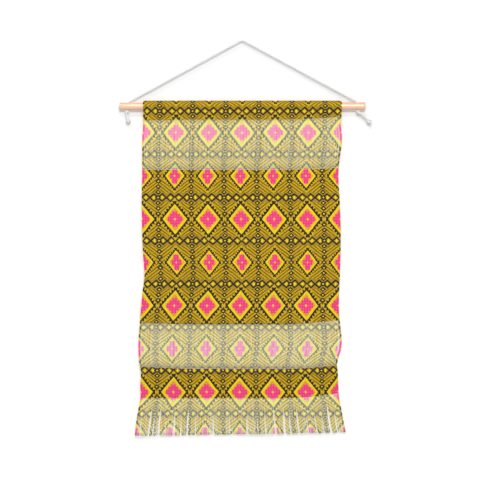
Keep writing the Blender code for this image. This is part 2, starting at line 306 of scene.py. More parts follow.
def laid_cord(name, path, radius, beside):
    """The surface of three strands along a path. At each ring, two directions square to the path
    come from a vector beside it, and the outline turns once in each lay length."""
    along = np.gradient(path, axis=0)
    along /= np.linalg.norm(along, axis=1)[:, None]
    beside = np.broadcast_to(beside, path.shape)
    first = beside - along * (beside * along).sum(axis=1)[:, None]
    first /= np.linalg.norm(first, axis=1)[:, None]
    second = np.cross(along, first)
    steps = np.linalg.norm(np.diff(path, axis=0), axis=1)
    length = np.concatenate(((0,), steps.cumsum()))
    around = np.linspace(0, 2 * pi, CORD_SIDES, endpoint=False)
    turned = around[None] + 2 * pi * length[:, None] / LAY_LENGTH
    reach = three_strands(around)[None] * np.broadcast_to(radius, length.shape)[:, None]
    points = (
        path[:, None]
        + first[:, None] * (reach * np.cos(turned))[..., None]
        + second[:, None] * (reach * np.sin(turned))[..., None]
    )
    share = np.linspace(0, 1, CORD_SIDES + 1)
    cord_map = np.stack(np.broadcast_arrays(share[None], length[:, None]), axis=-1)
    corners = tube_corners(len(path), CORD_SIDES)
    maps = {"cord": cord_map[None]}
    return piece(name, points[None], corners, maps, [cord_cotton], "cord_cotton", tube=True)


def cord_length(path):
    """The sum of the steps between the path's points."""
    return float(np.linalg.norm(np.diff(path, axis=0), axis=1).sum())


# %% The cord's span over the hang point
SPAN_ROUTE = (
    # x, z
    (-0.3172, -0.1909),
    (-0.3172, -0.1830),
    (-0.3172, -0.1755),
    (-0.3165, -0.1714),
    (-0.3144, -0.1678),
    (-0.3110, -0.1650),
    (-0.3050, -0.1617),
    (-0.2900, -0.1535),
    (-0.2400, -0.1261),
    (-0.1900, -0.0988),
    (-0.1400, -0.0714),
    (-0.0900, -0.0440),
    (-0.0450, -0.0194),
    (-0.0200, -0.0057),
    (-0.0077, 0.0010),
    (-0.0040, 0.0025),
    (0.0000, 0.0030),
    (0.0040, 0.0025),
    (0.0077, 0.0010),
    (0.0200, -0.0057),
    (0.0450, -0.0191),
    (0.0900, -0.0434),
    (0.1400, -0.0704),
    (0.1900, -0.0975),
    (0.2400, -0.1245),
    (0.2950, -0.1542),
    (0.3090, -0.1618),
    (0.3150, -0.1650),
    (0.3184, -0.1678),
    (0.3205, -0.1714),
    (0.3212, -0.1755),
    (0.3212, -0.1830),
    (0.3212, -0.1909),
)
TOWARDS_BACK = np.array((0.0, 1.0, 0.0))


def in_rod_plane(route):
    """Route points given as x and z, in the upright plane of the rod."""
    route = np.array(route)
    return np.stack((route[:, 0], np.zeros(len(route)), route[:, 1]), axis=1)


span_path = in_rod_plane(evenly(SPAN_ROUTE, RING_STEP))
span = laid_cord("hanging_cord", span_path, CORD_DIAMETER / 2, TOWARDS_BACK)
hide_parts("hanger_cord")
print("span of the cord:", round(cord_length(span_path), 4), "m")

# %% [markdown]
# # Knots and loose ends
# Under each hole the cord is tied in an overhand knot that can't slip through, and another knot
# closes each free end. Pulled tight, the knot is a small ball of cord whose turns cross over
# each other. A loop that winds twice round an axis while it rises and falls three times is a
# real overhand knot, so it is carried along with the same three strands. The loose ends have
# opened up a little, so their radius grows past the first knot.

# %% Tie the knots
KNOTS = {
    # name: x, z, width across its cord, height along it, lean of its cord from plumb in degrees
    "stopper_knot_left": (-0.3232, -0.1970, 0.0125, 0.0112, 0),
    "stopper_knot_right": (0.3240, -0.1968, 0.0125, 0.0110, 0),
    "end_knot_left": (-0.3198, -0.2215, 0.0145, 0.0135, -12),
    "end_knot_right": (0.3556, -0.2240, 0.0150, 0.0150, 47),
}
KNOT_RINGS = 110
# Shares of the knot's half width: its cord's radius, its loop's middle reach, and the swing of it.
KNOT_CORD = 0.36
KNOT_TURN = 0.38
KNOT_SWING = 0.26
OFF_AXIS = 1e-5


def overhand_knot(name, x, z, width, height, lean):
    """A loop that goes twice round the cord's axis while it swings in and out and up and down three
    times, scaled to the knot's width and height, then leaned with its cord and moved to its place."""
    turn = np.linspace(0, 2 * pi, KNOT_RINGS)
    out = KNOT_TURN + KNOT_SWING * np.cos(3 * turn)
    across = out * np.cos(2 * turn) * width / 2
    deep = out * np.sin(2 * turn) * width / 2
    up = -(1 - KNOT_CORD) * np.sin(3 * turn) * height / 2
    tilt = -radians(lean)
    path = np.stack(
        (
            x + across * cos(tilt) + up * sin(tilt),
            deep,
            z - across * sin(tilt) + up * cos(tilt),
        ),
        axis=1,
    )
    outwards = path - np.array((x, 0, z)) + OFF_AXIS
    return laid_cord(name, path, KNOT_CORD * width / 2, outwards)


knots = {name: overhand_knot(name + "_cord", *facts) for name, facts in KNOTS.items()}
for name, knot in knots.items():
    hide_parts(name)

# %% The loose ends of the cord
TAIL_DIAMETER = 0.008
TAIL_STEP = 0.0008
OPENING_LENGTH = 0.010
TAIL_ROUTES = {
    # name: x and z of points from the hole's foot, through both knots, to the cut end
    "tail_left": (
        (-0.3185, -0.1922),
        (-0.3232, -0.1970),
        (-0.3240, -0.2030),
        (-0.3224, -0.2100),
        (-0.3204, -0.2190),
        (-0.3192, -0.2280),
    ),
    "tail_right": (
        (0.3214, -0.1922),
        (0.3240, -0.1968),
        (0.3302, -0.2000),
        (0.3405, -0.2086),
        (0.3505, -0.2184),
        (0.3556, -0.2240),
        (0.3600, -0.2290),
    ),
}
tail_paths = {name: in_rod_plane(evenly(route, TAIL_STEP)) for name, route in TAIL_ROUTES.items()}
for name, path in tail_paths.items():
    gone = np.linspace(0, cord_length(path), len(path))
    opening = ease(gone / OPENING_LENGTH)
    radius = (CORD_DIAMETER + (TAIL_DIAMETER - CORD_DIAMETER) * opening) / 2
    laid_cord(name + "_cord", path, radius, TOWARDS_BACK)
    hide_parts(name)
    print(name, "is", round(cord_length(path), 4), "m long")

# %% [markdown]
# The span is pulled taut between two holes of the rod. Each loose end hangs from its hole down
# to its knot.

for side in ("left", "right"):
    path = tail_paths["tail_" + side]

# %% [markdown]
# # Pale sanded wood
# The rod is a turned dowel of a light wood, sanded and given a thin clear coat, so a soft bright
# line runs along it. The grain runs along it too, so the pattern is noise that is squeezed across
# the rod and drawn out along it. Three sizes are laid over each other: broad bands of colour,
# fine fibres, and short dark pores. The coat is a second, clear layer in the shader.

# %% Make the rod's material
# Each noise: bumps to the metre along the rod, and across it both ways.
BAND_BUMPS = (5.0, 120.0, 120.0)
FIBRE_BUMPS = (25.0, 1400.0, 1400.0)
PORE_BUMPS = (90.0, 2600.0, 2600.0)
DARK_BAND = (0.78, 0.43, 0.24)
LIGHT_BAND = (0.92, 0.57, 0.36)
FIBRE_TONE = (0.74, 0.40, 0.21)
PORE_TONE = (0.60, 0.31, 0.14)
GRAIN_SHARE = 0.30
GRAIN_RELIEF = 0.00012

rod_wood, tree, shader = new_finish("pale_sanded_wood")
calc = sums(tree)
object_place = add_node(tree, "ShaderNodeTexCoord").outputs["Object"]
bands = noise(tree, stretch(tree, object_place, BAND_BUMPS), 1.0, 3.0, 0.55)
fibres = noise(tree, stretch(tree, object_place, FIBRE_BUMPS), 1.0, 2.0, 0.6)
pores = noise(tree, stretch(tree, object_place, PORE_BUMPS), 1.0, 1.0, 0.5)
pore = inside(tree, pores, 0.36, 0.08)
wood = blend(tree, bands, DARK_BAND, LIGHT_BAND)
wood = blend(tree, calc("MULTIPLY", fibres, GRAIN_SHARE), wood, FIBRE_TONE)
wood = blend(tree, calc("MULTIPLY", pore, GRAIN_SHARE), wood, PORE_TONE)
tree.links.new(wood, shader.inputs["Base Color"])
dull = calc("MULTIPLY_ADD", fibres, 0.20, 0.34)
tree.links.new(dull, shader.inputs["Roughness"])
shader.inputs["Coat Weight"].default_value = 1.0
shader.inputs["Coat Roughness"].default_value = 0.20
shader.inputs["Coat IOR"].default_value = 1.75
add_relief(tree, shader, calc("SUBTRACT", fibres, calc("MULTIPLY", pore, 0.5)), GRAIN_RELIEF)
print("the rod's wood has", len(tree.nodes), "nodes")

# %% [markdown]
# # The wooden rod
# A lathe turns the rod, so it is a profile carried round an axis: a straight side, a rounded
# edge and a flat end. Two upright holes take the cord. A drill makes them on the real rod, and
# here a Boolean takes away a drill-shaped tool, whose ends widen as the eased mouths do.

# %% Turn the rod
ROD_HALF = 0.344
ROD_RADIUS = 0.011
ROD_DROP = 0.180
ROD_EDGE = 0.0016
ROD_SIDES = 96
EDGE_STEPS = 7
BODY_STEPS = 60


def turned(name, along, reach, axis, middle, finishes, slot, sides):
    """A profile of distance along an axis and reach from it, carried round that axis."""
    around = np.linspace(0, 2 * pi, sides, endpoint=False)
    one = reach[:, None] * np.cos(around)
    two = reach[:, None] * np.sin(around)
    far = np.broadcast_to(along[:, None], one.shape)
    order = {"x": (far, one, two), "z": (one, two, far)}[axis]
    points = np.stack(order, axis=-1) + np.array(middle)
    return piece(name, points[None], tube_corners(len(along), sides), {}, finishes, slot, tube=True)


quarter = np.linspace(pi / 2, 0, EDGE_STEPS)
edge_along = ROD_HALF - ROD_EDGE + ROD_EDGE * np.sin(quarter)
edge_reach = ROD_RADIUS - ROD_EDGE + ROD_EDGE * np.cos(quarter)
body_along = np.linspace(ROD_HALF - ROD_EDGE, ROD_EDGE - ROD_HALF, BODY_STEPS)[1:-1]
rod_along = np.concatenate((edge_along, body_along, -edge_along[::-1]))
rod_reach = np.concatenate((edge_reach, np.full(len(body_along), ROD_RADIUS), edge_reach[::-1]))
rod = turned(
    "wooden_rod", rod_along, rod_reach, "x", (0, 0, -ROD_DROP), [rod_wood], "rod_wood", ROD_SIDES
)
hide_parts("rod")

# %% Drill the two holes for the cord
HOLE_RADIUS = 0.0043
HOLE_EASING = 0.002
HOLE_PLACES = (-0.3165, 0.3205)
DRILL_PAST = 0.003
DRILL_SIDES = 40
SHARP_ANGLE = 0.7

drill_along = np.array((-1, -1, 1, 1)) * ROD_RADIUS + np.array(
    (-DRILL_PAST, HOLE_EASING, -HOLE_EASING, DRILL_PAST)
)
drill_reach = HOLE_RADIUS + np.array((HOLE_EASING + DRILL_PAST, 0, 0, HOLE_EASING + DRILL_PAST))
drills = []
for place in HOLE_PLACES:
    middle = (place, 0, -ROD_DROP)
    drill = turned(
        "drill", drill_along, drill_reach, "z", middle, [rod_wood], "rod_wood", DRILL_SIDES
    )
    hole = rod.modifiers.new("hole", "BOOLEAN")
    hole.operation = "DIFFERENCE"
    hole.solver = "EXACT"
    hole.object = drill
    drills.append(drill)
solved = rod.evaluated_get(bpy.context.evaluated_depsgraph_get())
drilled = bpy.data.meshes.new_from_object(solved)
rod.modifiers.clear()
rod.data = drilled
rod.data.set_sharp_from_angle(angle=SHARP_ANGLE)
for drill in drills:
    bpy.data.objects.remove(drill)
print("the drilled rod has", len(rod.data.polygons), "faces")

# %% [markdown]
# # The shape of the hanging cloth
# The cloth hangs from the rod in one piece. Its side edges draw in and swing out a little, its
# weave lines rise towards the right edge, and it holds a few soft folds. A place on it is given
# by two numbers: the share of the way across, and the drop below the hang point. From these the
# functions here work out the point in the room, for cloth and loose threads alike.

# %% The cloth's edges, weave lines and folds
FLAT_HALF_WIDTH = 0.281
FLAT_WIDTH = 2 * FLAT_HALF_WIDTH
CREST_DROP = 0.164
FRONT_AT_SEAM = -0.0032
OUTLINE = np.array(
    (
        # drop, left edge, right edge
        (0.164, -0.2780, 0.2770),
        (0.198, -0.2775, 0.2780),
        (0.228, -0.2775, 0.2752),
        (0.272, -0.2803, 0.2792),
        (0.305, -0.2805, 0.2753),
        (0.350, -0.2806, 0.2697),
        (0.385, -0.2810, 0.2694),
        (0.440, -0.2820, 0.2725),
        (0.526, -0.2808, 0.2755),
        (0.600, -0.2778, 0.2748),
        (0.655, -0.2742, 0.2730),
        (0.700, -0.2795, 0.2710),
        (0.750, -0.2845, 0.2706),
        (0.800, -0.2880, 0.2750),
        (0.837, -0.2910, 0.2785),
        (0.872, -0.2910, 0.2741),
        (0.899, -0.2885, 0.2650),
        (0.918, -0.2848, 0.2671),
        (0.965, -0.2859, 0.2694),
        (0.999, -0.2853, 0.2717),
        (1.030, -0.2915, 0.2777),
        (1.065, -0.2970, 0.2838),
        (1.101, -0.3010, 0.2915),
    )
)
WEAVE_LINES = {
    # foot of each part: drop at the left edge, in the middle, at the right edge
    "heading": (0.2204, 0.2188, 0.2100),
    "upper_warps": (0.3567, 0.3567, 0.3508),
    "middle_panel": (0.7885, 0.7924, 0.7795),
    "lower_warps": (0.9083, 0.9142, 0.9038),
    "lower_panel": (0.9990, 0.9990, 0.9856),
    "fringe": (1.1012, 1.0998, 1.0906),
}
LEFT_BEND = 0.3
RIGHT_BEND = 0.7
RIGHT_RISE = 1.6
FOLDS = (
    # depth, spacing, phase, metres across for each metre of drop
    (0.0030, 0.400, 0.60, 0.16),
    (0.0016, 0.170, -1.90, -0.35),
)
FLAT_ABOVE = 0.215
FOLDED_BELOW = 0.375
EDGE_ROLL_REACH = 0.045
EDGE_ROLL_SHARE = 0.6


def weave_line(name, across):
    """The drop of a weave line at a share across: level in the middle, eased to its own height at
    the left edge, and rising by a power of the way to the right edge."""
    left, middle, right = WEAVE_LINES[name]
    fall = middle + (left - middle) * (1 - ease(across / LEFT_BEND))
    past = np.clip((across - RIGHT_BEND) / (1 - RIGHT_BEND), 0, 1)
    return fall + (right - middle) * past**RIGHT_RISE


def on_cloth(across, drop):
    """Points of the hanging cloth. Sideways they lie between the two edges. In depth they follow
    two waves that lean and fade in below the rod, and near an edge that is drawn in they turn
    back by the square of how near it is."""
    left = smooth(drop, OUTLINE[:, 0], OUTLINE[:, 1])
    right = smooth(drop, OUTLINE[:, 0], OUTLINE[:, 2])
    x = left + (right - left) * across
    hang = ease((drop - FLAT_ABOVE) / (FOLDED_BELOW - FLAT_ABOVE))
    y = FRONT_AT_SEAM * (1 - hang)
    for depth, spacing, phase, lean in FOLDS:
        y = y + hang * depth * np.sin(2 * pi * (x + lean * drop) / spacing + phase)
    for edge in (left, right):
        roll = np.maximum(0, FLAT_HALF_WIDTH - abs(edge)) * EDGE_ROLL_SHARE
        near = np.clip(1 - abs(x - edge) / EDGE_ROLL_REACH, 0, 1)
        y = y + hang * roll * near * near
    return np.stack((x, y, -drop), axis=-1)


print("cloth is", FLAT_WIDTH, "m wide, and its fringe ends", WEAVE_LINES["fringe"][1], "m down")

# %% [markdown]
# # The print
# The cloth is printed in gold, olive, yellow, pink and blue-black. The design here is a generic
# one in those colours: lozenges in straight columns, a zigzag between their rows, chains of small
# lozenges between their columns, and a finely hatched ground. It is written as sums on a map in
# metres across and down the flat cloth, so it runs on over cloth and threads without a break.

# %% Write the print as a node group
COLUMN = FLAT_WIDTH / 6
ROW = 0.121
LOZENGE = (0.0425, 0.0520)
SMALLER = 0.80
STAIR = 0.0072
GOLD = (0.66, 0.42, 0.005)
OLIVE_GOLD = (0.40, 0.25, 0.012)
BROWN_OLIVE = (0.13, 0.075, 0.006)
YELLOW = (0.90, 0.64, 0.004)
PINK = (0.90, 0.038, 0.235)
BLUE_BLACK = (0.010, 0.013, 0.020)

HAND_ACROSS = 0.0036
HAND_DOWN = 0.0032
CLIMB = 0.75
HATCH_SPACING = 0.0046
HATCH_WIDTH = 0.0024
STROKE_SPACING = 0.0014
STROKE_WIDTH = 0.0006

lozenge_print = bpy.data.node_groups.new("lozenge_print", "ShaderNodeTree")
lozenge_print.interface.new_socket("Map", in_out="INPUT", socket_type="NodeSocketVector")
lozenge_print.interface.new_socket("Color", in_out="OUTPUT", socket_type="NodeSocketColor")
tree = lozenge_print
calc = sums(tree)
given = tree.nodes.new("NodeGroupInput").outputs[0]
drawn = tree.nodes.new("NodeGroupOutput")

# The hand of the drawing: every line wanders by a fraction of a millimetre.
across_it, down_it, _ = add_node(tree, "ShaderNodeSeparateXYZ", {0: given}).outputs
wander = calc("SUBTRACT", noise(tree, given, 55.0), 0.5)
across_it = calc("MULTIPLY_ADD", wander, HAND_ACROSS, across_it)
wander = calc("SUBTRACT", noise(tree, given, 80.0), 0.5)
down_it = calc("MULTIPLY_ADD", wander, HAND_DOWN, down_it)

# Distance from the middle of the nearest column and row, then from the lines between them.
from_column = calc("PINGPONG", across_it, COLUMN / 2)
beside_column = calc("SUBTRACT", COLUMN / 2, from_column)
from_row = calc("PINGPONG", down_it, ROW / 2)
beside_row = calc("SUBTRACT", ROW / 2, from_row)


def lozenge(tree, one, two, half_width, half_height):
    """0 in the middle of a lozenge and 1 on its outline: shares across and down, added up."""
    calc = sums(tree)
    return calc("ADD", calc("DIVIDE", one, half_width), calc("DIVIDE", two, half_height))


# Ground: a hatch that climbs towards each column, and fine crossing strokes in it.
climbing = calc("ADD", from_row, calc("MULTIPLY", from_column, CLIMB))
hatch = calc("PINGPONG", climbing, HATCH_SPACING)
colour = blend(tree, inside(tree, hatch, HATCH_WIDTH, 0.0008), BROWN_OLIVE, GOLD)
slanting = calc("SUBTRACT", down_it, calc("MULTIPLY", across_it, CLIMB))
strokes = calc("PINGPONG", slanting, STROKE_SPACING)
crossed = calc("MULTIPLY", inside(tree, strokes, STROKE_WIDTH, 0.0004), 0.45)
colour = blend(tree, crossed, colour, OLIVE_GOLD)

# %% The zigzags and chains of the print
ZIGZAG_STEP = COLUMN / 8
ZIGZAG_RISE = 0.0105
ZIGZAG_WIDTH = 0.0030
ZIGZAG_BAND = 0.0135
DOT = (0.0050, 0.0054)
LINK = (0.0092, ROW / 16.5)
LINK_HEART = 0.34

tooth = calc("MULTIPLY", calc("PINGPONG", across_it, ZIGZAG_STEP), ZIGZAG_RISE / ZIGZAG_STEP)
from_zigzag = calc("ABSOLUTE", calc("SUBTRACT", beside_row, tooth))
colour = blend(tree, inside(tree, beside_row, ZIGZAG_BAND, 0.0005), colour, OLIVE_GOLD)
colour = blend(tree, inside(tree, from_zigzag, ZIGZAG_WIDTH, 0.0005), colour, BLUE_BLACK)
under_tooth = calc("SUBTRACT", ZIGZAG_STEP, calc("PINGPONG", across_it, ZIGZAG_STEP))
dot = lozenge(tree, under_tooth, beside_row, *DOT)
colour = blend(tree, inside(tree, dot, 1.0, 0.25), colour, YELLOW)

chain_link = calc("PINGPONG", down_it, ROW / 16)
chain = lozenge(tree, beside_column, chain_link, *LINK)
colour = blend(tree, inside(tree, chain, 1.0, 0.12), colour, BLUE_BLACK)
colour = blend(tree, inside(tree, chain, LINK_HEART, 0.12), colour, YELLOW)
print("zigzag teeth across the cloth:", round(FLAT_WIDTH / (2 * ZIGZAG_STEP)))

# %% The lozenges of the print
TOOTH_SHARE = 1 / 7
TOOTH_RISE = 0.22
RING_SOFT = 0.03
FLECK = (COLUMN / 26, ROW / 28)
FLECK_ORANGE = (0.92, 0.22, 0.20)


def in_stairs(tree, distance):
    """The distance rounded to the middle of its stair, which makes a slanted edge climb in steps."""
    calc = sums(tree)
    stair = calc("FLOOR", calc("DIVIDE", distance, STAIR))
    return calc("MULTIPLY", calc("ADD", stair, 0.5), STAIR)


row_number = calc("ROUND", calc("DIVIDE", down_it, ROW))
every_other = calc("MODULO", row_number, 2.0)
size = calc("MULTIPLY_ADD", every_other, SMALLER - 1, 1.0)
plain = calc("DIVIDE", lozenge(tree, from_column, from_row, *LOZENGE), size)
stepped = lozenge(tree, in_stairs(tree, from_column), in_stairs(tree, from_row), *LOZENGE)
stepped = calc("DIVIDE", stepped, size)
along_side = lozenge(tree, from_column, calc("MULTIPLY", from_row, -1.0), *LOZENGE)
along_side = calc("PINGPONG", calc("DIVIDE", along_side, size), TOOTH_SHARE)
toothed = calc("MULTIPLY_ADD", along_side, TOOTH_RISE / TOOTH_SHARE, plain)
for shape, limit, ink in (
    (plain, 1.16, GOLD),
    (toothed, 1.15, BLUE_BLACK),
    (plain, 0.82, YELLOW),
    (plain, 0.62, GOLD),
    (stepped, 0.56, PINK),
):
    colour = blend(tree, inside(tree, shape, limit, RING_SOFT), colour, ink)
fleck_across = calc("PINGPONG", across_it, FLECK[0])
fleck_down = calc("PINGPONG", down_it, FLECK[1])
fleck = lozenge(tree, fleck_across, fleck_down, *FLECK)
fleck = calc("MULTIPLY", inside(tree, fleck, 0.45, 0.2), inside(tree, plain, 0.50, RING_SOFT))
colour = blend(tree, calc("MULTIPLY", fleck, 0.75), colour, FLECK_ORANGE)
colour = blend(tree, inside(tree, plain, 0.085, RING_SOFT), colour, YELLOW)
tree.links.new(colour, drawn.inputs[0])
print("the print has", len(lozenge_print.nodes), "nodes")

# %% [markdown]
# # Woven cotton, printed and plain side
# The cloth is a plain weave: each weft thread goes over one warp thread and under the next. Two
# waves across and down, multiplied, give that basket relief. Threads take up ink unevenly, so
# each one is a little lighter or darker than its neighbour. Ink only partly reaches the other
# side, so there the same print shows paler. Where the weaving stops, a line of plain thread ends.

# %% Make the cloth's two materials
THREAD_PITCH = 0.00139
UNDYED = (0.80, 0.76, 0.66)
DARK_THREAD = (0.05, 0.035, 0.01)
REVERSE_TONE = (0.66, 0.55, 0.28)
REVERSE_PALENESS = 0.42
LAST_WEFT = 0.0011
SLUB_BUMPS = (900.0, 160.0, 1.0)
WEAVE_RELIEF = 0.00028


def thread_shade(tree, position, strength):
    """A random lightness for each thread: its number, the position divided by the pitch and
    rounded down, is the seed."""
    calc = sums(tree)
    number = calc("FLOOR", calc("DIVIDE", position, THREAD_PITCH))
    chance = add_node(tree, "ShaderNodeTexWhiteNoise", {"W": number}, noise_dimensions="1D")
    return calc("MULTIPLY", chance.outputs[0], strength)


def woven_finish(name, paleness, ink_to):
    """A material for one side of the cloth, its print this much nearer to the thread's own colour."""
    finish, tree, shader = new_finish(name)
    calc = sums(tree)
    print_map = add_node(tree, "ShaderNodeUVMap", uv_map="print").outputs[0]
    across_it, down_it, _ = add_node(tree, "ShaderNodeSeparateXYZ", {0: print_map}).outputs
    group = tree.nodes.new("ShaderNodeGroup")
    group.node_tree = lozenge_print
    tree.links.new(print_map, group.inputs[0])
    colour = blend(tree, paleness, group.outputs[0], ink_to)
    colour = blend(tree, thread_shade(tree, across_it, 0.14), colour, DARK_THREAD)
    colour = blend(tree, thread_shade(tree, down_it, 0.02), colour, UNDYED)
    cloud = noise(tree, print_map, 14.0, 3.0, 0.6)
    colour = blend(tree, calc("MULTIPLY", cloud, 0.06), colour, OLIVE_GOLD)
    edge_map = add_node(tree, "ShaderNodeUVMap", uv_map="edges").outputs[0]
    _, from_line, _ = add_node(tree, "ShaderNodeSeparateXYZ", {0: edge_map}).outputs
    last_weft = calc("MULTIPLY", inside(tree, from_line, LAST_WEFT, 0.0006), 0.55)
    colour = blend(tree, last_weft, colour, UNDYED)
    tree.links.new(colour, shader.inputs["Base Color"])
    warp = calc("SINE", calc("MULTIPLY", across_it, 2 * pi / THREAD_PITCH))
    weft = calc("SINE", calc("MULTIPLY", down_it, 2 * pi / THREAD_PITCH))
    basket = calc("MULTIPLY_ADD", calc("MULTIPLY", warp, weft), 0.5, 0.5)
    slub = noise(tree, stretch(tree, print_map, SLUB_BUMPS), 1.0, 2.0, 0.6)
    rough = calc("MULTIPLY_ADD", slub, 0.14, 0.80)
    tree.links.new(rough, shader.inputs["Roughness"])
    shader.inputs["Specular IOR Level"].default_value = 0.08
    add_relief(tree, shader, calc("MULTIPLY_ADD", slub, 0.35, basket), WEAVE_RELIEF)
    return finish


cloth_front = woven_finish("printed_cotton", 0.0, UNDYED)
cloth_back = woven_finish("reverse_of_the_print", REVERSE_PALENESS, REVERSE_TONE)
print("the cloth's front has", len(cloth_front.node_tree.nodes), "nodes and the print's group")

# %% [markdown]
# # The two woven panels
# Each panel is the cloth's shape between two weave lines. A thin sheet is enough: the Solidify
# modifier gives it its thickness, and its second material slot puts the paler reverse behind.
# A narrow row and column of cells along the edges keeps the shading of the rim out of the face.

# %% Weave the panels
CLOTH_THICKNESS = 0.0011
LINE_GAP = 0.0004
RIM = 0.0006
PRINT_START = 0.012


def thicken(made):
    """Gives a sheet its thickness, half to each side, with the reverse behind."""
    cloth = made.modifiers.new("thickness", "SOLIDIFY")
    cloth.thickness = CLOTH_THICKNESS
    cloth.offset = 0
    cloth.use_even_offset = True
    cloth.material_offset = 1


def with_rim(count, rim):
    """Even steps from 0 to 1, and one narrow step more at each end."""
    return np.concatenate(((0,), np.linspace(rim, 1 - rim, count), (1,)))


def flat_map(across, drop):
    """Metres across from the middle, and metres down from where a row of the print starts."""
    return np.stack(((across - 0.5) * FLAT_WIDTH, drop - PRINT_START), axis=-1)


def edge_map(across, down, height):
    """Metres from the nearer side edge and from the nearer weave line."""
    side = (0.5 - abs(across - 0.5)) * FLAT_WIDTH
    line = (0.5 - abs(down - 0.5)) * height
    return np.stack((side, line), axis=-1)


def woven_panel(name, part, line_above, columns, rows):
    """The cloth between two weave lines: shares across, and shares of the way from line to line."""
    top, foot = WEAVE_LINES[line_above][1], WEAVE_LINES[part][1]
    across = with_rim(columns, RIM / FLAT_WIDTH)
    down = with_rim(rows, RIM / (foot - top))
    across, down = np.meshgrid(across, down)
    above = weave_line(line_above, across) + LINE_GAP / 2
    below = weave_line(part, across) - LINE_GAP / 2
    drop = above + (below - above) * down
    maps = {
        "print": flat_map(across, drop)[None],
        "edges": edge_map(across, down, foot - top)[None],
    }
    corners = sheet_corners(*across.shape)
    points = on_cloth(across, drop)[None]
    made = piece(name, points, corners, maps, [cloth_front, cloth_back], "woven_cloth")
    thicken(made)
    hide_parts(part)
    return made


large_panel = woven_panel("large_woven_panel", "middle_panel", "upper_warps", 110, 88)
narrow_panel = woven_panel("narrow_woven_panel", "lower_panel", "lower_warps", 110, 22)

# %% [markdown]
# # The sleeve round the rod
# At the top the cloth is folded back over the rod and pressed, so a sharp crest stands a little
# above the wood. From the crest both layers lean down to the rod, follow it, leave it on a
# tangent and meet at the seam. The section is worked out once for each place across, because
# the seam rises towards the right, and the sections side by side are the sleeve.

# %% Fold the sleeve
CAD_CLOTH = 0.0015
CAD_FACET = 0.0002
SEAM_RISE = 0.004
FLAP_BELOW_SEAM = 0.002
CREST_ROUNDING = 0.0006
CREST_SHOULDER = (0.0017, 0.0008)
SLEEVE_COLUMNS = 110
ARC_STEPS = 12


def sleeve_section(foot_z):
    """The sleeve's middle line as y and z from the rod's axis, back flap to front foot: straight to
    the tangent point, round the rod to its shoulder, straight to the crest, and down again."""
    seam_z = foot_z + SEAM_RISE
    flap_z = seam_z - FLAP_BELOW_SEAM
    round_rod = ROD_RADIUS + LINE_GAP + CAD_FACET + CAD_CLOTH / 2
    crest = ROD_DROP - CREST_DROP - CAD_CLOTH / 2
    shoulder = acos(round_rod / (crest + CREST_ROUNDING))
    back_y = FRONT_AT_SEAM + CAD_CLOTH + LINE_GAP
    sides = []
    for seam_y, side in ((back_y, 1), (FRONT_AT_SEAM, -1)):
        reach = (seam_y * seam_y + seam_z * seam_z) ** 0.5
        tangent = pi - acos(round_rod / reach) - atan2(side * seam_y, -seam_z)
        turns = np.linspace(tangent, shoulder, ARC_STEPS)
        arc = [(side * round_rod * sin(turn), round_rod * cos(turn)) for turn in turns]
        beside_crest = (side * CREST_SHOULDER[0], crest - CREST_SHOULDER[1])
        sides.append([(seam_y, seam_z)] + arc + [beside_crest])
    back, front = sides
    return [(back_y, flap_z)] + back + [(0, crest)] + front[::-1] + [(FRONT_AT_SEAM, foot_z)]


sleeve_across = with_rim(SLEEVE_COLUMNS, RIM / FLAT_WIDTH)
foot_z = ROD_DROP - (weave_line("heading", sleeve_across) - LINE_GAP / 2)
sections = np.array([sleeve_section(foot) for foot in foot_z]).transpose(1, 0, 2)
section_y, section_z = sections[..., 0], sections[..., 1] - ROD_DROP
section_x = on_cloth(np.broadcast_to(sleeve_across, section_z.shape), -section_z)[..., 0]
steps = np.linalg.norm(np.diff(sections, axis=0), axis=-1)
from_flap = np.concatenate((np.zeros((1, len(sleeve_across))), steps.cumsum(axis=0)))
to_foot = from_flap[-1] - from_flap
across_grid = np.broadcast_to(sleeve_across, section_z.shape)
sleeve_maps = {
    "print": flat_map(across_grid, -section_z[-1] - to_foot)[None],
    "edges": np.stack(((0.5 - abs(across_grid - 0.5)) * FLAT_WIDTH, to_foot), axis=-1)[None],
}
sleeve_points = np.stack((section_x, section_y, section_z), axis=-1)
sleeve = piece(
    "rod_sleeve",
    sleeve_points[None],
    sheet_corners(*section_z.shape),
    sleeve_maps,
    [cloth_front, cloth_back],
    "woven_cloth",
)
thicken(sleeve)
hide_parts("heading")

# %% [markdown]
# # Loose warp threads
# Where the weft was left out, about four hundred warp threads hang side by side with light
# between them. They carry the same print, painted paler to stand in for the light that comes
# through them and for their own shade. Each thread is a six-sided tube with few faces, because
# hundreds of them have to stay light. The threads at both side edges stand close together, so
# there the print keeps its full depth, and a narrow gap opens beside them. All threads of a band
# are worked out at once: one array holds every ring of every thread.

# %% Make the yarn's material
LIGHTEST_INK = (0.95, 0.95, 0.95)
CHANCE_SHARE = 0.08
CLOSE_SIDE = 0.004
CLOSE_SOFT = 0.002
CLOSE_DEPTH = 0.65
# The colour of the painted shade where a thread leaves the weave.
ROOT_PAINTED_SHADE = (0.20, 0.17, 0.10)
ROOT_REACH = 0.005
ROOT_SOFT = 0.008
TWIST_BUMPS = (1500.0, 1500.0, 700.0)
TWIST_RELIEF = 0.00025


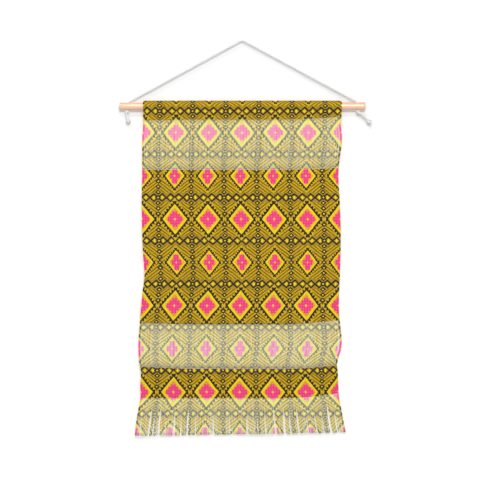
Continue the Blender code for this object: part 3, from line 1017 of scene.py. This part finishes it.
def yarn_finish(name, painted_light_gain, paleness, root_shade):
    """Loose printed yarn: the print times a painted light gain, which stands in for light coming
    through the yarn and for the threads' own shade, no lighter than the lightest ink, and nearer
    to undyed cotton, each thread its own tone. It keeps most of the plain print at the close side
    threads, and has painted shade where it leaves the weave, a little greyer there."""
    finish, tree, shader = new_finish(name)
    calc = sums(tree)
    print_map = add_node(tree, "ShaderNodeUVMap", uv_map="print").outputs[0]
    group = tree.nodes.new("ShaderNodeGroup")
    group.node_tree = lozenge_print
    tree.links.new(print_map, group.inputs[0])
    own_map = add_node(tree, "ShaderNodeUVMap", uv_map="thread").outputs[0]
    chance, from_weave, _ = add_node(tree, "ShaderNodeSeparateXYZ", {0: own_map}).outputs
    pale = calc("MULTIPLY_ADD", chance, CHANCE_SHARE, paleness)
    # Painted light: the print is multiplied up to stand in for light coming through the yarn and for
    # its own shade.
    factors = {0: group.outputs[0], 1: painted_light_gain}
    lit = add_node(tree, "ShaderNodeVectorMath", factors, operation="MULTIPLY").outputs[0]
    lit = add_node(tree, "ShaderNodeVectorMath", {0: lit, 1: LIGHTEST_INK}, operation="MINIMUM")
    colour = blend(tree, pale, lit.outputs[0], UNDYED)
    across_it = add_node(tree, "ShaderNodeSeparateXYZ", {0: print_map}).outputs[0]
    from_middle = calc("ABSOLUTE", across_it)
    apart = inside(tree, from_middle, FLAT_HALF_WIDTH - CLOSE_SIDE, CLOSE_SOFT)
    apart = calc("MULTIPLY_ADD", apart, CLOSE_DEPTH, 1.0 - CLOSE_DEPTH)
    colour = blend(tree, apart, group.outputs[0], colour)
    # Painted shade where the thread leaves the weave: its colour is drawn towards a dark grey-brown
    # there.
    in_shade = inside(tree, from_weave, ROOT_REACH, ROOT_SOFT)
    in_shade = calc("MULTIPLY", in_shade, root_shade)
    colour = blend(tree, in_shade, colour, ROOT_PAINTED_SHADE)
    tree.links.new(colour, shader.inputs["Base Color"])
    shader.inputs["Roughness"].default_value = 0.9
    shader.inputs["Specular IOR Level"].default_value = 0.08
    object_place = add_node(tree, "ShaderNodeTexCoord").outputs["Object"]
    twist = noise(tree, stretch(tree, object_place, TWIST_BUMPS), 1.0, 2.0, 0.6)
    add_relief(tree, shader, twist, TWIST_RELIEF)
    return finish


yarns = {
    # part: painted light gain for light that comes through, in red, green and blue, paleness, painted
    # shade at the weave
    "upper_warps": yarn_finish("upper_loose_yarn", (1.55, 1.88, 2.1), 0.18, 0.18),
    "lower_warps": yarn_finish("lower_loose_yarn", (1.70, 2.05, 2.6), 0.20, 0.18),
    "fringe": yarn_finish("fringe_yarn", (1.62, 1.95, 2.1), 0.18, 0.04),
}
print("yarns made for", ", ".join(yarns))

# %% Set up the warp
THREAD_WIDTH = 0.00106
THREAD_SIDES = 6
THREAD_RINGS = 7
EDGE_THREADS = 6
EDGE_CLOSENESS = 0.97
PITCH_UNEVEN = (0.88, 1.12)
INTO_WEAVE = 0.0012
warp_count = int(FLAT_WIDTH / THREAD_PITCH)
print("the warp has", warp_count, "threads")


def warp_roots(rng):
    """Middles of the threads as shares across: even steps, closed up at both sides, each a little
    too wide or narrow, scaled so that the outer threads end at the cloth's edges."""
    steps = rng.uniform(*PITCH_UNEVEN, warp_count) * THREAD_PITCH
    steps[:EDGE_THREADS] = THREAD_WIDTH * EDGE_CLOSENESS
    steps[-EDGE_THREADS:] = THREAD_WIDTH * EDGE_CLOSENESS
    inner = slice(EDGE_THREADS, -EDGE_THREADS)
    room = FLAT_WIDTH - steps[:EDGE_THREADS].sum() - steps[-EDGE_THREADS:].sum()
    steps[inner] *= room / steps[inner].sum()
    return (steps.cumsum() - steps / 2) / FLAT_WIDTH


def thread_tubes(name, part, middle, width, across, drop, from_weave, rng):
    """Round, six-sided tubes along the middles of all threads. Every ring is level: the thread's
    middle plus a circle of its own radius."""
    around = np.linspace(0, 2 * pi, THREAD_SIDES, endpoint=False)
    circle = np.stack((np.cos(around), np.sin(around), np.zeros(THREAD_SIDES)), axis=-1)
    points = middle[:, :, None] + circle * (width / 2)[:, :, None, None]
    sides = (*across.shape, THREAD_SIDES + 1)
    chance = rng.uniform(0, 1, len(across))[:, None, None]
    print_map = flat_map(across, drop)[:, :, None]
    own = np.stack(
        (np.broadcast_to(chance, sides), np.broadcast_to(from_weave[..., None], sides)), axis=-1
    )
    maps = {"print": np.broadcast_to(print_map, (*sides, 2)), "thread": own}
    corners = tube_corners(across.shape[1], THREAD_SIDES)
    made = piece(name, points, corners, maps, [yarns[part]], "warp_yarn", tube=True)
    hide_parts(part)
    return made


# %% Hang the two open bands
WANDER = 0.0004
WANDER_WAVES = (23, 41, 67)
WANDER_ALONE = 0.45
BULGE = 0.0010
STILL_SIDE = 0.02
BAND_THREAD_WIDTHS = (0.85, 1.12)
SIDE_GAPS = (0.0009, 0.0024)
SIDE_GAP_REACH = 0.012


def open_band(name, part, line_above, seed):
    """Threads from weave line to weave line. Between its ends a thread wanders sideways with its
    neighbours, by a few slow waves across the band, and a little on its own, most at mid-height.
    Those just inside the close ones at the sides stand off from them, less and less further in."""
    rng = np.random.default_rng(seed)
    roots = warp_roots(rng)[:, None]
    down = np.linspace(0, 1, THREAD_RINGS)[None]
    above = weave_line(line_above, roots) - INTO_WEAVE
    below = weave_line(part, roots) + INTO_WEAVE
    drop = above + (below - above) * down
    free = np.sin(pi * down)
    drift = np.zeros_like(drop)
    for waves in WANDER_WAVES:
        phase = rng.uniform(0, 2 * pi)
        drift += np.sin(2 * pi * waves * roots + phase + rng.uniform(-2, 2) * down) / 2
    drift += rng.uniform(-WANDER_ALONE, WANDER_ALONE, drop.shape)
    inner = ease(np.minimum(roots, 1 - roots) / STILL_SIDE)
    sideways = drift * inner * WANDER
    for from_side, gap in ((roots, SIDE_GAPS[0]), (1 - roots, -SIDE_GAPS[1])):
        past_group = from_side * FLAT_WIDTH - EDGE_THREADS * THREAD_WIDTH
        sideways += np.where(past_group > 0, gap * np.exp(-past_group / SIDE_GAP_REACH), 0)
    middle = on_cloth(roots + free * sideways / FLAT_WIDTH, drop)
    middle[..., 1] += free * rng.uniform(-BULGE, BULGE, roots.shape)
    width = THREAD_WIDTH * rng.uniform(*BAND_THREAD_WIDTHS, roots.shape) * np.ones_like(drop)
    across = np.broadcast_to(roots, drop.shape)
    from_weave = np.minimum(drop - drop[:, :1], drop[:, -1:] - drop)
    return thread_tubes(name, part, middle, width, across, drop, from_weave, rng)


upper_threads = open_band("upper_open_threads", "upper_warps", "heading", 21)
lower_threads = open_band("lower_open_threads", "lower_warps", "middle_panel", 22)

# %% [markdown]
# # The fringe
# At the foot the warp hangs free. The threads cling together in locks, and slits open between
# the locks towards the tips. The shears cut them level, so the tips differ by a millimetre or
# two, and the cut line itself dips and rises a little across the cloth. Each slit has its place,
# its width at the tips and the height where it starts. A thread is pushed aside by how near and
# how wide the slits beside it are, and the locks sway a little to and fro.

# %% Place the slits
SLITS = (
    # place in metres from the middle, width at the tips, share of the way down where it opens
    (-0.2690, 0.0022, 0.41),
    (-0.2430, 0.0046, 0.21),
    (-0.2330, 0.0030, 0.46),
    (-0.2190, 0.0042, 0.16),
    (-0.2010, 0.0024, 0.46),
    (-0.1780, 0.0046, 0.31),
    (-0.1620, 0.0022, 0.51),
    (-0.1420, 0.0050, 0.26),
    (-0.1210, 0.0026, 0.41),
    (-0.0980, 0.0020, 0.51),
    (-0.0740, 0.0030, 0.36),
    (-0.0520, 0.0018, 0.46),
    (-0.0290, 0.0026, 0.41),
    (-0.0060, 0.0018, 0.56),
    (0.0200, 0.0030, 0.36),
    (0.0450, 0.0020, 0.46),
    (0.0680, 0.0024, 0.41),
    (0.0930, 0.0044, 0.21),
    (0.1080, 0.0020, 0.51),
    (0.1210, 0.0052, 0.26),
    (0.1350, 0.0034, 0.36),
    (0.1570, 0.0048, 0.21),
    (0.1800, 0.0022, 0.46),
    (0.2040, 0.0026, 0.41),
    (0.2250, 0.0020, 0.51),
    (0.2420, 0.0050, 0.21),
    (0.2600, 0.0022, 0.46),
)
# The slits stand open by this much more than their table says.
SLIT_EASE = 1.05
BESIDE_SLIT = 1e-5


def pushed_aside(place):
    """How far a thread's tip moves, in metres, and where it starts to. The push is half a slit's
    width times its ease just beside it, the other way on its other side, and fades evenly
    between slits."""
    slits = np.array(SLITS)
    beside = np.stack((slits[:, 0] - BESIDE_SLIT, slits[:, 0] + BESIDE_SLIT), axis=1).ravel()
    push = np.stack((-slits[:, 1] / 2, slits[:, 1] / 2), axis=1).ravel() * SLIT_EASE
    beside = np.concatenate(((-FLAT_HALF_WIDTH,), beside, (FLAT_HALF_WIDTH,)))
    push = np.concatenate(((0,), push, (0,)))
    opens = np.interp(place, slits[:, 0], slits[:, 2])
    return np.interp(place, beside, push), opens


print("the fringe has", len(SLITS), "slits")

# %% Cut the fringe
# The cut line is lowered by so many metres at these shares of the way across.
CUT_SHARES = (0.0, 0.28, 0.52, 0.75, 0.87, 1.0)
CUT_LOWER = (0.0023, 0.0029, -0.0002, -0.0016, -0.0005, 0.0052)
SLIT_LENGTH = 0.30
FRINGE_RINGS = 9
LOCKS = 63
LOCK_DEPTH = 0.0009
SWAY = 0.0014
SWAY_WAVES = (5, 11)
SWAY_BELOW = 0.2
TIP_UNEVEN = 0.0025
TIP_LEAN = 0.0010
TIP_DEPTH = 0.0008
TIP_OPENING = 0.12
STILL_FRINGE_SIDE = 0.01
FRINGE_THREAD_WIDTHS = (0.88, 1.15)


def cut_fringe(name, part, line_above, seed):
    """Threads from the last weave line to their tips, pushed aside by the slits, swayed by two
    waves across the fringe, each with a slight lean and bend of its own and its own length."""
    rng = np.random.default_rng(seed)
    roots = warp_roots(rng)[:, None]
    down = np.linspace(0, 1, FRINGE_RINGS)[None]
    above = weave_line(line_above, roots) - INTO_WEAVE
    lock = np.floor(roots * (LOCKS - 1)).astype(int)
    lock_short = rng.uniform(0, TIP_UNEVEN, LOCKS)[lock]
    cut = weave_line(part, roots) + np.interp(roots, CUT_SHARES, CUT_LOWER)
    below = cut - lock_short - rng.uniform(0, TIP_UNEVEN / 2, roots.shape)
    drop = above + (below - above) * down
    push, opens = pushed_aside((roots - 0.5) * FLAT_WIDTH)
    open_share = ease((down - opens) / SLIT_LENGTH)
    slow, quick = SWAY_WAVES
    sway = np.sin(2 * pi * slow * roots + 1.0) + np.sin(2 * pi * quick * roots)
    sway = sway * SWAY * ease((down - SWAY_BELOW) / (1 - SWAY_BELOW))
    lean = rng.uniform(-TIP_LEAN, TIP_LEAN, roots.shape) * down**1.5
    bend = rng.uniform(-0.5, 0.5, drop.shape) * TIP_LEAN * down
    inner = ease(np.minimum(roots, 1 - roots) / STILL_FRINGE_SIDE)
    sideways = (push * open_share + (sway + lean + bend) * inner) / FLAT_WIDTH
    middle = on_cloth(roots + sideways, drop)
    lock_depth = rng.uniform(-1, 1, LOCKS)[lock] * LOCK_DEPTH
    middle[..., 1] += down * (lock_depth + rng.uniform(-1, 1, roots.shape) * TIP_DEPTH)
    width = THREAD_WIDTH * rng.uniform(*FRINGE_THREAD_WIDTHS, roots.shape)
    width = width * (1 + TIP_OPENING * down)
    across = np.broadcast_to(roots, drop.shape)
    from_weave = drop - drop[:, :1]
    return thread_tubes(name, part, middle, width, across, drop, from_weave, rng)


fringe = cut_fringe("cut_fringe", "fringe", "lower_panel", 23)

# %% [markdown]
# # The seam of the sleeve
# A row of machine stitches joins the back flap to the front layer. Each stitch is a short piece
# of gold sewing thread that dives into the cloth at both ends, so its middle line is a low arch.
# The same arch is repeated along the seam in front and behind.

# %% Sew the seam
STITCH_LENGTH = 0.0030
STITCH_PITCH = 0.0038
STITCH_WIDTH = 0.0005
STITCH_RINGS = 5
STITCH_SIDES = 4
ARCH_REACH = 0.97
PLY_BUMPS = (1800.0, 900.0, 900.0)
DARK_PLY = (0.30, 0.19, 0.02)
LIGHT_PLY = (0.55, 0.38, 0.05)
PLY_RELIEF = 0.0001

sewing_thread, tree, shader = new_finish("gold_sewing_thread")
object_place = add_node(tree, "ShaderNodeTexCoord").outputs["Object"]
ply = noise(tree, stretch(tree, object_place, PLY_BUMPS), 1.0, 2.0, 0.6)
tree.links.new(blend(tree, ply, DARK_PLY, LIGHT_PLY), shader.inputs["Base Color"])
shader.inputs["Roughness"].default_value = 0.6
add_relief(tree, shader, ply, PLY_RELIEF)

stitch_count = int(FLAT_WIDTH / STITCH_PITCH) - 1
first_across = (np.arange(stitch_count) + 0.5) / stitch_count
step_across = np.linspace(-0.5, 0.5, STITCH_RINGS) * STITCH_LENGTH / FLAT_WIDTH
stitch_across = (first_across[:, None] + step_across)[None].repeat(2, axis=0)
seam_drop = weave_line("heading", stitch_across) - LINE_GAP / 2 - SEAM_RISE
arch = np.sqrt(1 - np.linspace(-ARCH_REACH, ARCH_REACH, STITCH_RINGS) ** 2)
face_y = np.array((FRONT_AT_SEAM, FRONT_AT_SEAM + CAD_CLOTH + LINE_GAP))[:, None, None]
outwards = np.array((-1, 1))[:, None, None]
lift = CLOTH_THICKNESS / 2 + (arch - 0.5) * STITCH_WIDTH
seam_x = on_cloth(stitch_across, seam_drop)[..., 0]
seam_y = np.broadcast_to(face_y + outwards * lift, seam_x.shape)
seam_middle = np.stack((seam_x, seam_y, -seam_drop), axis=-1).reshape(-1, STITCH_RINGS, 3)
around = np.linspace(0, 2 * pi, STITCH_SIDES, endpoint=False) + pi / 4
thread_ring = np.stack((np.zeros(STITCH_SIDES), np.cos(around), np.sin(around)), axis=-1)
seam_points = seam_middle[:, :, None] + thread_ring * STITCH_WIDTH / 2
seam = piece(
    "seam_stitches",
    seam_points,
    tube_corners(STITCH_RINGS, STITCH_SIDES),
    {},
    [sewing_thread],
    "woven_cloth",
    tube=True,
)

# %% [markdown]
# # The studio
# The hanging was pictured before a plain white background in soft light. A white backdrop stands
# close behind it. It gives some light of its own, more towards the foot, where the lamps light it
# less, so it stays plain white and takes only a breath of shadow. Seen from behind it is clear, so
# the back can be looked at. A pale floor lies well below. Dim light comes from all around, and
# four panels of light do the rest. The strongest is wide and stands in front, only about a metre
# above the rod, so that the shadows of cord and rod touch them and a bright line runs along the
# wood. The others hang high in front, low in front and behind.

# %% Put up the backdrop and the floor
def studio_plane(name, corners, finish):
    """One flat cell that isn't part of the hanging."""
    mesh = bpy.data.meshes.new(name)
    mesh.from_pydata(corners, [], [(0, 1, 2, 3)])
    mesh.materials.append(finish)
    made = bpy.data.objects.new(name, mesh)
    bpy.context.scene.collection.objects.link(made)
    return made


WALL_LOW = -1.2
WALL_HIGH = 0.1
OWN_LIGHT_LOW = (0.295, 0.315, 0.325)
OWN_LIGHT_HIGH = (0.125, 0.148, 0.16)
BACKDROP_BASE = (0.72, 0.70, 0.69, 1)
BACKDROP_TOP = 1.2
BACKDROP_HALF = 1.6
BACKDROP_Y = 0.0145
FLOOR_Z = -1.5
FLOOR_HALF = 4
FLOOR_BASE = (0.55, 0.55, 0.55, 1)
FLOOR_OWN_LIGHT = 0.42
WHITE = (1, 1, 1, 1)

backdrop_white, tree, shader = new_finish("backdrop_white")
object_place = add_node(tree, "ShaderNodeTexCoord").outputs["Object"]
height = add_node(tree, "ShaderNodeSeparateXYZ", {0: object_place}).outputs[2]
share_up = {0: height, 1: WALL_LOW, 2: WALL_HIGH, 3: 0.0, 4: 1.0}
share_up = add_node(tree, "ShaderNodeMapRange", share_up, clamp=True).outputs[0]
own_light = blend(tree, share_up, OWN_LIGHT_LOW, OWN_LIGHT_HIGH)
tree.links.new(own_light, shader.inputs["Emission Color"])
shader.inputs["Emission Strength"].default_value = 1.0
shader.inputs["Base Color"].default_value = BACKDROP_BASE
shader.inputs["Roughness"].default_value = 1.0
shader.inputs["Specular IOR Level"].default_value = 0.0
clear = add_node(tree, "ShaderNodeBsdfTransparent").outputs[0]
from_behind = add_node(tree, "ShaderNodeNewGeometry").outputs["Backfacing"]
either = add_node(tree, "ShaderNodeMixShader", {0: from_behind, 1: shader.outputs[0], 2: clear})
tree.links.new(either.outputs[0], tree.nodes["Material Output"].inputs["Surface"])

floor_pale, tree, shader = new_finish("floor_pale")
shader.inputs["Base Color"].default_value = FLOOR_BASE
shader.inputs["Roughness"].default_value = 0.9
shader.inputs["Emission Color"].default_value = WHITE
shader.inputs["Emission Strength"].default_value = FLOOR_OWN_LIGHT

backdrop_corners = [
    (-BACKDROP_HALF, BACKDROP_Y, FLOOR_Z),
    (BACKDROP_HALF, BACKDROP_Y, FLOOR_Z),
    (BACKDROP_HALF, BACKDROP_Y, BACKDROP_TOP),
    (-BACKDROP_HALF, BACKDROP_Y, BACKDROP_TOP),
]
backdrop = studio_plane("backdrop", backdrop_corners, backdrop_white)
backdrop.visible_diffuse = False
backdrop.visible_glossy = False
backdrop.visible_transmission = False
backdrop.visible_shadow = False
floor_corners = [
    (-FLOOR_HALF, -FLOOR_HALF, FLOOR_Z),
    (FLOOR_HALF, -FLOOR_HALF, FLOOR_Z),
    (FLOOR_HALF, FLOOR_HALF, FLOOR_Z),
    (-FLOOR_HALF, FLOOR_HALF, FLOOR_Z),
]
floor = studio_plane("floor", floor_corners, floor_pale)
floor.visible_diffuse = False
print("the backdrop stands", BACKDROP_Y, "m behind the rod's plane")

# %% Light the studio
AMBIENT = 0.50
LAMPS = (
    # name, place, power in watts, width, height
    ("key_light", (0.2, -3.8, 0.88), 90.0, 1.6, 0.36),
    ("top_light", (-0.3, -3.8, 3.4), 60.0, 2.6, 0.4),
    ("low_light", (-0.5, -3.6, -1.9), 22.0, 2.0, 1.2),
    ("back_light", (-1.2, 2.4, 0.6), 32.0, 1.8, 1.8),
)


def soft_light(name, place, power, width, height):
    """A panel of light that looks at the middle of the hanging."""
    light = bpy.data.lights.new(name, "AREA")
    light.energy = power
    light.shape = "RECTANGLE"
    light.size = width
    light.size_y = height
    made = bpy.data.objects.new(name, light)
    made.location = place
    middle = np.array((0, 0, VIEW_CENTRE_Z)) - np.array(place)
    level = float(np.hypot(middle[0], middle[1]))
    made.rotation_euler = (pi / 2 + atan2(middle[2], level), 0, atan2(-middle[0], middle[1]))
    made.visible_camera = False
    bpy.context.scene.collection.objects.link(made)


world = bpy.data.worlds.new("white_studio")
bpy.context.scene.world = world
world.use_nodes = True
tree = world.node_tree
background = tree.nodes["Background"]
background.inputs["Color"].default_value = WHITE
seen = add_node(tree, "ShaderNodeLightPath").outputs["Is Camera Ray"]
level = add_node(tree, "ShaderNodeMapRange", {0: seen, 1: 0.0, 2: 1.0, 3: AMBIENT, 4: 1.0})
tree.links.new(level.outputs[0], background.inputs["Strength"])
for lamp in LAMPS:
    soft_light(*lamp)
print("panels of light:", len(LAMPS))
bpy.context.scene.view_settings.view_transform = "Standard"
